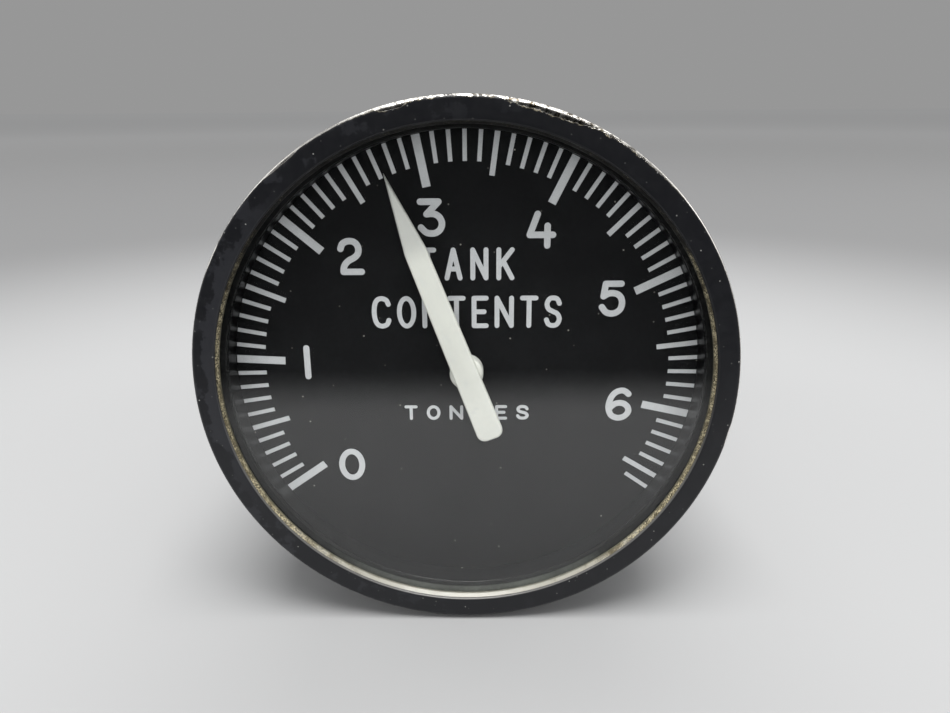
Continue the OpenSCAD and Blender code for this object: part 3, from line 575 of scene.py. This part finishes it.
def piece(name, shape, body, slot, finish=None, replaces=None, sharp=35):
    """A piece of that shape, its vertices and faces, which rides on a body."""
    verts, faces = shape
    mesh = bpy.data.meshes.new(name)
    mesh.from_pydata([place(*v) for v in verts], [], faces)
    bm = bmesh.new()
    bm.from_mesh(mesh)
    bmesh.ops.recalc_face_normals(bm, faces=bm.faces)
    bm.to_mesh(mesh)
    bm.free()
    shaded(mesh, sharp)
    mesh.materials.append((finish or FINISHES[slot]).material)
    obj = bpy.data.objects.new(name, mesh)
    bpy.context.scene.collection.objects.link(obj)
    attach(obj, body)
    if replaces:
        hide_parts(replaces)
    return obj


def lathe(profile, segments, closed=True, moved=None):
    """Turns (radius, z) points about the gauge's axis. moved(angle, r, z) may shift a point."""
    verts, faces, index = [], [], {}
    for i in range(segments):
        angle = 2 * math.pi * i / segments
        for k, (r, z) in enumerate(profile):
            if r == 0 and i:
                index[i, k] = index[0, k]
                continue
            if moved:
                r, z = moved(angle, r, z)
            index[i, k] = len(verts)
            verts.append((r * math.cos(angle), r * math.sin(angle), z))
    count = len(profile)
    for i in range(segments):
        j = (i + 1) % segments
        for k in range(count if closed else count - 1):
            m = (k + 1) % count
            corners = (index[i, k], index[j, k], index[j, m], index[i, m])
            faces.append(list(dict.fromkeys(corners)))
    return verts, faces


def arc(cx, cy, radius, start, end, steps):
    """Points on an arc, from start to end in degrees."""
    angles = [math.radians(start + (end - start) * i / steps) for i in range(steps + 1)]
    return [(cx + radius * math.cos(a), cy + radius * math.sin(a)) for a in angles]


def prism(outline, low, high):
    """A flat solid with that outline, a list of (x, y)."""
    count = len(outline)
    verts = [(x, y, z) for z in (low, high) for x, y in outline]
    faces = [list(range(count))[::-1], list(range(count, 2 * count))]
    faces += [[i, (i + 1) % count, count + (i + 1) % count, count + i] for i in range(count)]
    return verts, faces


def hoop(outer, inner, low, high):
    """A flat ring between two outlines with the same number of points."""
    count = len(outer)
    rings = ((outer, low), (outer, high), (inner, high), (inner, low))
    verts = [(x, y, z) for line, z in rings for x, y in line]
    faces = []
    for a in range(len(rings)):
        b = (a + 1) % len(rings)
        for i in range(count):
            j = (i + 1) % count
            faces.append([a * count + i, a * count + j, b * count + j, b * count + i])
    return verts, faces


def joined(shapes):
    """Several shapes as one."""
    verts, faces = [], []
    for more_verts, more_faces in shapes:
        faces += [[i + len(verts) for i in face] for face in more_faces]
        verts += more_verts
    return verts, faces


def turned(points, degrees):
    """The points, turned about the gauge's axis."""
    c, s = math.cos(math.radians(degrees)), math.sin(math.radians(degrees))
    return [(c * x - s * y, s * x + c * y) for x, y in points]


# Rings of the face: bezel, sealing bead, glass and mask

BEZEL_SEGMENTS, BEAD_SEGMENTS, RING_SEGMENTS = 900, 1200, 360
DENT_DEPTH, DENT_BAND = 0.03, 0.15
LUMP_SIZE, GRIT_SIZE = 0.03, 0.01
BEAD_EDGE, BEAD_EDGE_WALL = 0.1, 0.06
GLASS_ARRIS = 0.12
MASK_EDGE_R = 0.15

# Ends of flat stretches beside a rounded edge, which keep the rounding's shading off them
BEZEL_WALL_FRONT, BEZEL_FACE_OUTER_R, BEZEL_FACE_INNER_R = 8.3, 24.4, 24.0
MASK_WALL_FRONT, HUB_TOP_R = 5.3, 0.6


def edge_dents(angle, r, z):
    """Small knocks in the bezel's front outer edge, most of them at the top."""
    on_edge = max(0.0, min(1.0, (r + z - BEZEL_R - BEZEL_FRONT + BEZEL_EDGE_R) / DENT_BAND))
    if not on_edge:
        return r, z
    p = Vector((math.cos(angle), math.sin(angle), 0.0))
    knock = max(0.0, noise.noise(p * 62.0) - 0.2) + 0.6 * max(0.0, noise.noise(p * 210.0) - 0.15)
    near_top = max(0.0, math.cos(angle - math.radians(KNOCKED_AT))) ** 4
    depth = DENT_DEPTH * on_edge * knock * (0.12 + 0.88 * near_top)
    return r - depth * 0.5, z - depth


def bead_lumps(angle, r, z):
    """The hand-laid bead is uneven where it can be seen."""
    if r > LIP_R - 0.01 or z < GLASS_FRONT + 0.02:
        return r, z
    p = Vector((math.cos(angle) * LIP_R, math.sin(angle) * LIP_R, z))
    lump = LUMP_SIZE * noise.noise(p * 0.9) + GRIT_SIZE * noise.noise(p * 4.5)
    return min(LIP_R, r + lump), z + 0.4 * lump


bezel_profile = (
    [(BEZEL_BORE_R, BEZEL_BACK), (BEZEL_R - BEZEL_CHAMFER, BEZEL_BACK)]
    + [(BEZEL_R, BEZEL_BACK + BEZEL_CHAMFER), (BEZEL_R, BEZEL_WALL_FRONT)]
    + arc(BEZEL_R - BEZEL_EDGE_R, BEZEL_FRONT - BEZEL_EDGE_R, BEZEL_EDGE_R, 0, 90, steps=12)
    + [(BEZEL_FACE_OUTER_R, BEZEL_FRONT), (BEZEL_FACE_INNER_R, BEZEL_FRONT)]
    + arc(LIP_R + BEZEL_CHAMFER, BEZEL_FRONT - BEZEL_CHAMFER, BEZEL_CHAMFER, 90, 180, steps=6)
    + [(LIP_R, LIP_BACK), (BEZEL_BORE_R, LIP_BACK)])
piece("bezel_ring", lathe(bezel_profile, BEZEL_SEGMENTS, moved=edge_dents), "housing", "bezel_paint",
      replaces="bezel")

bead_inner_r = LIP_R - BEAD_WIDTH
bead_drop = BEAD_FRONT - GLASS_FRONT - BEAD_EDGE
bead_profile = (
    [(STACK_R, GLASS_FRONT), (STACK_R, LIP_BACK), (LIP_R, LIP_BACK), (LIP_R, BEAD_FRONT)]
    + [(LIP_R - BEAD_WIDTH * t, BEAD_FRONT - bead_drop * t) for t in (0.1, 0.25, 0.5, 0.75, 0.9)]
    + [(bead_inner_r, GLASS_FRONT + BEAD_EDGE_WALL), (bead_inner_r, GLASS_FRONT)])
piece("sealing_bead", lathe(bead_profile, BEAD_SEGMENTS, moved=bead_lumps), "housing", "seal_compound",
      replaces="glass_seal", sharp=60)

glass_profile = [
    (0, GLASS_BACK), (STACK_R - GLASS_ARRIS, GLASS_BACK), (STACK_R, GLASS_BACK + GLASS_ARRIS),
    (STACK_R, GLASS_FRONT - GLASS_ARRIS), (STACK_R - GLASS_ARRIS, GLASS_FRONT), (0, GLASS_FRONT)]
piece("cover_glass", lathe(glass_profile, RING_SEGMENTS, closed=False), "housing", "glass",
      replaces="glass", sharp=20)

mask_profile = (
    [(STACK_R, DIAL_FACE), (STACK_R, MASK_FRONT)]
    + arc(MASK_BORE_R + MASK_EDGE_R, MASK_FRONT - MASK_EDGE_R, MASK_EDGE_R, 90, 180, steps=5)
    + [(MASK_BORE_R, MASK_WALL_FRONT), (MASK_BORE_R, DIAL_FACE)])
piece("mask_ring", lathe(mask_profile, RING_SEGMENTS), "housing", "black_satin", replaces="dial_mask")


# Paint in the engraved marks, a hair above the dial and clear of the slots' walls

MARK_GAP, MARK_PROUD = 0.012, 0.012
MARKS_PER_UNIT = 10
DEGREES_PER_UNIT = SCALE_SWEEP / SCALE_END


def mark(i):
    """The paint in mark number i, which is longer and wider at each half and each whole unit."""
    kind = "major" if i % MARKS_PER_UNIT == 0 else "medium" if i % (MARKS_PER_UNIT // 2) == 0 else "minor"
    inner, outer = MASK_BORE_R - MARK_LENGTHS[kind] + MARK_GAP, MARK_OUTER_R - MARK_GAP
    half = MARK_WIDTHS[kind] / 2 - MARK_GAP
    box = [(inner, -half), (outer, -half), (outer, half), (inner, half)]
    direction = SCALE_START - i / MARKS_PER_UNIT * DEGREES_PER_UNIT
    return prism(turned(box, direction), DIAL_FACE - MARK_DEPTH, DIAL_FACE + MARK_PROUD)


mark_count = round(SCALE_END * MARKS_PER_UNIT) + 1
piece("scale_marks", joined([mark(i) for i in range(mark_count)]), "housing", "pointer_white", MARK_PAINT)


# Figures and legend: round-ended strokes in a box of half-width 1 and half-height 1

STROKES = {
    "1": [[(0, 1), (0, -1)]],
    "2": [[(-1, 0.5), (-0.82, 0.8), (-0.45, 0.96), (-0.05, 1), (0.35, 0.94), (0.66, 0.74), (0.78, 0.44),
           (0.66, 0.14), (0.3, -0.08), (-0.2, -0.25), (-0.56, -0.46), (-0.77, -0.72), (-0.82, -1)],
          [(-0.82, -1), (1, -1)]],
    "3": [[(-1, 1), (0.7, 1)], [(0.7, 1), (-0.42, 0.22)],
          [(-0.42, 0.22), (0, 0.25), (0.42, 0.2), (0.8, 0), (1, -0.37), (0.83, -0.74), (0.45, -0.95), (0, -1),
           (-0.5, -0.93), (-0.97, -0.62)]],
    "4": [[(-0.35, 1), (-1, -0.32)], [(-1, -0.32), (1, -0.32)], [(0.52, 0.25), (0.52, -1)]],
    "5": [[(-0.7, 1), (0.85, 1)], [(-0.7, 1), (-0.88, 0.16)],
          [(-0.88, 0.16), (-0.45, 0.33), (0.02, 0.38), (0.5, 0.3), (0.86, 0.08), (1, -0.28), (0.87, -0.68),
           (0.45, -0.93), (-0.05, -1), (-0.58, -0.9), (-1, -0.56)]],
    "6": [[(0.9, 0.74), (0.6, 0.93), (0.18, 1), (-0.35, 0.87), (-0.76, 0.52), (-0.98, 0), (-0.95, -0.42),
           (-0.72, -0.78), (-0.35, -0.95), (0.05, -1), (0.5, -0.92), (0.85, -0.7), (0.98, -0.44),
           (0.85, -0.16)],
          [(0.85, -0.16), (0.5, 0.04), (0.05, 0.1), (-0.4, 0.02), (-0.78, -0.2)]],
    "T": [[(-1, 1), (1, 1)], [(0, 1), (0, -1)]],
    "A": [[(-1, -1), (0, 1)], [(0, 1), (1, -1)], [(-0.62, -0.35), (0.62, -0.35)]],
    "N": [[(-1, -1), (-1, 1)], [(-1, 1), (1, -1)], [(1, -1), (1, 1)]],
    "K": [[(-1, 1), (-1, -1)], [(1, 1), (-1, -0.2)], [(-0.35, 0.2), (1, -1)]],
    "E": [[(-1, 1), (-1, -1)], [(-1, 1), (1, 1)], [(-1, 0.02), (0.65, 0.02)], [(-1, -1), (1, -1)]],
    "C": [[(1, 0.58), (0.78, 0.85), (0.4, 0.97), (0, 1), (-0.5, 0.9), (-0.86, 0.58), (-1, 0), (-0.86, -0.58),
           (-0.5, -0.9), (0, -1), (0.4, -0.97), (0.78, -0.85), (1, -0.58)]],
    "S": [[(0.95, 0.6), (0.65, 0.9), (0.05, 1), (-0.6, 0.92), (-0.95, 0.56), (-0.68, 0.2), (0, 0.02),
           (0.68, -0.16), (1, -0.52), (0.66, -0.9), (0, -1), (-0.66, -0.9), (-1, -0.58)]],
}
ROUND = {"0", "O"}
NARROW = {"E": 0.88, "S": 0.92, "T": 0.95}
CURVE_STEPS, CAP_STEPS, ROUND_STEPS = 6, 8, 56

# Each stroke of a sign stands a hair higher than the one before, so that no two faces coincide
PAINT_THICKNESS, STROKE_STEP = 0.03, 0.002


def between(a, b, c, d, t):
    """One coordinate of a smooth curve through a, b, c and d, at the share t of the way from b to c."""
    bend, twist = 2 * a - 5 * b + 4 * c - d, 3 * b - a - 3 * c + d
    return 0.5 * (2 * b + (c - a) * t + bend * t ** 2 + twist * t ** 3)


def smoothed(points):
    """A smooth curve through the points. Two points stay a straight line."""
    if len(points) < 3:
        return points
    ends = [points[0]] + points + [points[-1]]
    out = []
    for around in zip(ends, ends[1:], ends[2:], ends[3:]):
        for i in range(CURVE_STEPS):
            out.append(tuple(between(*four, i / CURVE_STEPS) for four in zip(*around)))
    return out + [points[-1]]


def stroke_outline(points, width):
    """The outline of a stroke of that width with round ends."""
    half = width / 2
    last = len(points) - 1
    left, right = [], []
    for i, (x, y) in enumerate(points):
        (ax, ay), (bx, by) = points[max(i - 1, 0)], points[min(i + 1, last)]
        length = math.hypot(bx - ax, by - ay)
        nx, ny = -(by - ay) / length * half, (bx - ax) / length * half
        left.append((x + nx, y + ny))
        right.append((x - nx, y - ny))

    def cap(end, start):
        """A half circle round the stroke's end, from that point of its side."""
        angle = math.degrees(math.atan2(start[1] - end[1], start[0] - end[0]))
        return arc(*end, half, angle, angle + 180, CAP_STEPS)[1:-1]

    return right + cap(points[-1], right[-1]) + left[::-1] + cap(points[0], left[0])


def character(sign, x, y, width, height, stroke):
    """One figure or letter, width by height over its strokes, as a list of flat solids on the dial."""
    a, b = (width - stroke) / 2, (height - stroke) / 2
    if sign in ROUND:
        angles = [2 * math.pi * i / ROUND_STEPS for i in range(ROUND_STEPS)]
        outer, inner = ([(x + (a + out) * math.cos(t), y + (b + out) * math.sin(t)) for t in angles]
                        for out in (stroke / 2, -stroke / 2))
        return [hoop(outer, inner, DIAL_FACE, DIAL_FACE + PAINT_THICKNESS)]
    shapes = []
    for k, points in enumerate(STROKES[sign]):
        line = smoothed([(x + a * u, y + b * v) for u, v in points])
        top = DIAL_FACE + PAINT_THICKNESS + k * STROKE_STEP
        shapes.append(prism(stroke_outline(line, stroke), DIAL_FACE, top))
    return shapes


def words(text, x, y, width, height, stroke, gap):
    """A line of letters over that width."""
    shares = [NARROW.get(letter, 1.0) for letter in text]
    unit = (width - gap * (len(text) - 1)) / sum(shares)
    shapes, left = [], x - width / 2
    for letter, share in zip(text, shares):
        shapes += character(letter, left + unit * share / 2, y, unit * share, height, stroke)
        left += unit * share + gap
    return shapes


# Centre and width of each figure
FIGURE_HEIGHT, FIGURE_STROKE = 3.55, 0.61
FIGURES = {
    "0": (-12.02, -10.44, 2.7),
    "1": (-15.86, 0.73, FIGURE_STROKE),
    "2": (-10.92, 11.28, 2.52),
    "3": (-3.2, 14.9, 2.62),
    "4": (7.15, 13.72, 2.8),
    "5": (14.12, 7.07, 2.54),
    "6": (15.32, -3.83, 2.67),
}
figures = [shape for sign, spot in FIGURES.items()
           for shape in character(sign, *spot, FIGURE_HEIGHT, FIGURE_STROKE)]
piece("dial_figures", joined(figures), "housing", "pointer_white", MARK_PAINT)

# Each line's centre, width, height, stroke and gap between letters
LEGEND = {
    "TANK": (0.1, 10.51, 9.1, 3.17, 0.47, 0.75),
    "CONTENTS": (0.05, 5.8, 18.5, 3.22, 0.47, 0.58),
    "TONNES": (-0.05, -4.68, 12.6, 1.57, 0.31, 0.92),
}
legend = [shape for text, layout in LEGEND.items() for shape in words(text, *layout)]
piece("dial_legend", joined(legend), "housing", "pointer_white", MARK_PAINT)


# The pointer: a flat blade with a softened front rim on a round hub

BLADE_RIM, BLADE_RIM_STEPS = 0.19, 6
HUB_EDGE_R, HUB_CHAMFER, HUB_SEGMENTS = 0.4, 0.08, 128

blade_direction = SCALE_START - POINTER_READING * DEGREES_PER_UNIT
corner_x, corner_y = TAIL_CORNER_R - TAIL, TAIL_WIDTH / 2 - TAIL_CORNER_R
blade_outline = (
    [(TIP_R, 0.0), (SHOULDER_R, SHOULDER_WIDTH / 2)]
    + arc(corner_x, corner_y, TAIL_CORNER_R, 90, 180, steps=10)
    + arc(corner_x, -corner_y, TAIL_CORNER_R, 180, 270, steps=10)
    + [(SHOULDER_R, -SHOULDER_WIDTH / 2)])
blade = piece("pointer_blade", prism(turned(blade_outline, blade_direction), BLADE_BACK, BLADE_FRONT),
              "pointer_train", "pointer_white", replaces="pointer")
bm = bmesh.new()
bm.from_mesh(blade.data)
middle_y = -(BLADE_BACK + BLADE_FRONT) / 2 * MM
rim = [edge for edge in bm.edges if all(v.co.y < middle_y for v in edge.verts)]
bmesh.ops.bevel(bm, geom=rim, offset=BLADE_RIM * MM, offset_type="OFFSET", segments=BLADE_RIM_STEPS,
                profile=0.5, affect="EDGES", clamp_overlap=True)
bm.to_mesh(blade.data)
bm.free()
shaded(blade.data, sharp=10)

hub_profile = (
    [(0, SHAFT_FRONT), (SHAFT_R, SHAFT_FRONT), (SHAFT_R, HUB_BACK)]
    + [(HUB_R - HUB_CHAMFER, HUB_BACK), (HUB_R, HUB_BACK + HUB_CHAMFER)]
    + arc(HUB_R - HUB_EDGE_R, BLADE_BACK - HUB_EDGE_R, HUB_EDGE_R, 0, 90, steps=8)
    + [(HUB_TOP_R, BLADE_BACK), (0, BLADE_BACK)])
piece("hub_boss", lathe(hub_profile, HUB_SEGMENTS, closed=False), "pointer_train", "pointer_white",
      replaces="pointer_hub")


# Stage: a pale floor that carries the gauge, with a painted shadow round it, a dark card for the glass to
# mirror, and soft lamps

FLOOR_REACH, FLOOR_GAP, FLOOR_CENTRE = 6000.0, 0.02, -10.0
CARD_HALF, CARD_LOW, CARD_HIGH, CARD_AT = 200.0, -26.0, 120.0, 62.0
CARD_CLEAR, CARD_FADE = 0.5, 9.0


def stage_plane(name, corners, finish):
    mesh = bpy.data.meshes.new(name)
    mesh.from_pydata([place(*corner) for corner in corners], [], [range(len(corners))])
    mesh.materials.append(finish.material)
    obj = bpy.data.objects.new(name, mesh)
    bpy.context.scene.collection.objects.link(obj)
    return obj


def floor_finish():
    """Grey under the gauge, a painted shadow round it, and pale far off."""
    f = Finish("floor_pale")
    near, dark = (0.3, 0.3, 0.3), (0.17, 0.17, 0.17)
    pale, palest = (0.475, 0.47, 0.466), (0.5, 0.495, 0.49)
    x, _, z = f.axes()
    along = z - FLOOR_CENTRE
    away = f.math("SQRT", x * x + along * along)
    # Painted shadow: darker grey round the gauge, rising to pale far off
    far = f.blend(f.span(away, 150.0, 1500.0), dark, pale)
    far = f.blend(f.span(away, 1500.0, 5000.0), far, palest)
    return f.set(Base_Color=f.blend(f.span(away, 80.0, 260.0), near, far),
                 Roughness=0.9, Specular_IOR_Level=0.0)


def card_finish():
    """Black, fading out towards its lower edge."""
    f = Finish("card_dark")
    f.set(Base_Color=(0.004, 0.004, 0.004, 1.0), Roughness=0.9, Specular_IOR_Level=0.0)
    _, y, _ = f.axes()
    clear = f.add("BsdfTransparent").outputs[0]
    start = CARD_LOW + CARD_CLEAR
    f.show(f.mixed(f.span(y, start, start + CARD_FADE), clear, f.shader.outputs[0]))
    return f


# The gauge lies on the bezel's and the case's lowest points, so the floor rises towards the back
floor_slope = (CASE_R - BEZEL_R) / (-CASE_BACK - CASE_EDGE_R)
floor_corners = [(x, -BEZEL_R - FLOOR_GAP + floor_slope * z, z)
                 for x, z in ((-FLOOR_REACH, FLOOR_REACH), (FLOOR_REACH, FLOOR_REACH),
                              (FLOOR_REACH, -FLOOR_REACH), (-FLOOR_REACH, -FLOOR_REACH))]
stage_plane("floor", floor_corners, floor_finish())

card_corners = [(-CARD_HALF, CARD_LOW, CARD_AT), (CARD_HALF, CARD_LOW, CARD_AT),
                (CARD_HALF, CARD_HIGH, CARD_AT), (-CARD_HALF, CARD_HIGH, CARD_AT)]
card = stage_plane("dark_card", card_corners, card_finish())
card.visible_camera = card.visible_diffuse = card.visible_shadow = False


def lamp(name, at, width, height, watts, spread=180):
    """A soft lamp that shines at the gauge."""
    data = bpy.data.lights.new(name, "AREA")
    data.shape = "RECTANGLE"
    data.size, data.size_y = width * MM, height * MM
    data.energy = watts
    data.spread = math.radians(spread)
    obj = bpy.data.objects.new(name, data)
    obj.location = place(*at)
    obj.rotation_euler = (-obj.location).to_track_quat("-Z", "Y").to_euler()
    bpy.context.scene.collection.objects.link(obj)
    return obj


lamp("overhead", (30, 720, 200), 500, 420, 9.3)
lamp("rear", (50, 550, -320), 800, 300, 2.3)
for x in (-750, 750):
    lamp("strip", (x, 360, -320), 300, 600, 0.14, spread=60)
lamp("front", (-100, 300, 850), 700, 500, 0.68, spread=90).visible_glossy = False

# World: soft light from all sides, dimmer where it is seen directly, in a mirror or through glass
SKY_COLOUR, SKY_STRENGTH = (0.97, 0.985, 1.0), 0.62
BACKDROP_COLOUR, BACKDROP_STRENGTH = (1.0, 1.0, 1.0), 0.31

world = bpy.data.worlds.new("studio")
world.use_nodes = True
nodes, links = world.node_tree.nodes, world.node_tree.links
nodes.clear()


def background(colour, strength):
    node = nodes.new("ShaderNodeBackground")
    node.inputs["Color"].default_value = (*colour, 1.0)
    node.inputs["Strength"].default_value = strength
    return node.outputs[0]


rays = nodes.new("ShaderNodeLightPath").outputs
seen = rays["Is Camera Ray"]
for ray in ("Is Glossy Ray", "Is Transmission Ray"):
    either = nodes.new("ShaderNodeMath")
    either.operation = "MAXIMUM"
    links.new(seen, either.inputs[0])
    links.new(rays[ray], either.inputs[1])
    seen = either.outputs[0]
mix, out = nodes.new("ShaderNodeMixShader"), nodes.new("ShaderNodeOutputWorld")
links.new(seen, mix.inputs[0])
links.new(background(SKY_COLOUR, SKY_STRENGTH), mix.inputs[1])
links.new(background(BACKDROP_COLOUR, BACKDROP_STRENGTH), mix.inputs[2])
links.new(mix.outputs[0], out.inputs["Surface"])
bpy.context.scene.world = world
bpy.context.scene.view_settings.view_transform = "Standard"


# Camera: close in front of the dial, a little above it, looking down

CAMERA_AT = (1.4, 22.8, 73.3)
PITCH, YAW, ROLL = math.radians(17.40), math.radians(-0.478), math.radians(-0.35)
FOCAL_PIXELS, FRAME_PIXELS = 726.1, 950
SENSOR_WIDTH, CLIP_START = 36.0, 4.0

camera_data = bpy.data.cameras.new("camera")
camera_data.sensor_fit = "HORIZONTAL"
camera_data.sensor_width = SENSOR_WIDTH
camera_data.lens = SENSOR_WIDTH * FOCAL_PIXELS / FRAME_PIXELS
camera_data.clip_start = CLIP_START * MM
camera = bpy.data.objects.new("camera", camera_data)
back = Vector((-math.sin(YAW) * math.cos(PITCH), -math.cos(YAW) * math.cos(PITCH), math.sin(PITCH)))
level = Vector((math.cos(YAW), -math.sin(YAW), 0.0))
upright = back.cross(level)
right = math.cos(ROLL) * level + math.sin(ROLL) * upright
upward = math.cos(ROLL) * upright - math.sin(ROLL) * level
camera.matrix_world = Matrix((right, upward, back)).transposed().to_4x4()
camera.location = place(*CAMERA_AT)
bpy.context.scene.collection.objects.link(camera)
bpy.context.scene.camera = camera
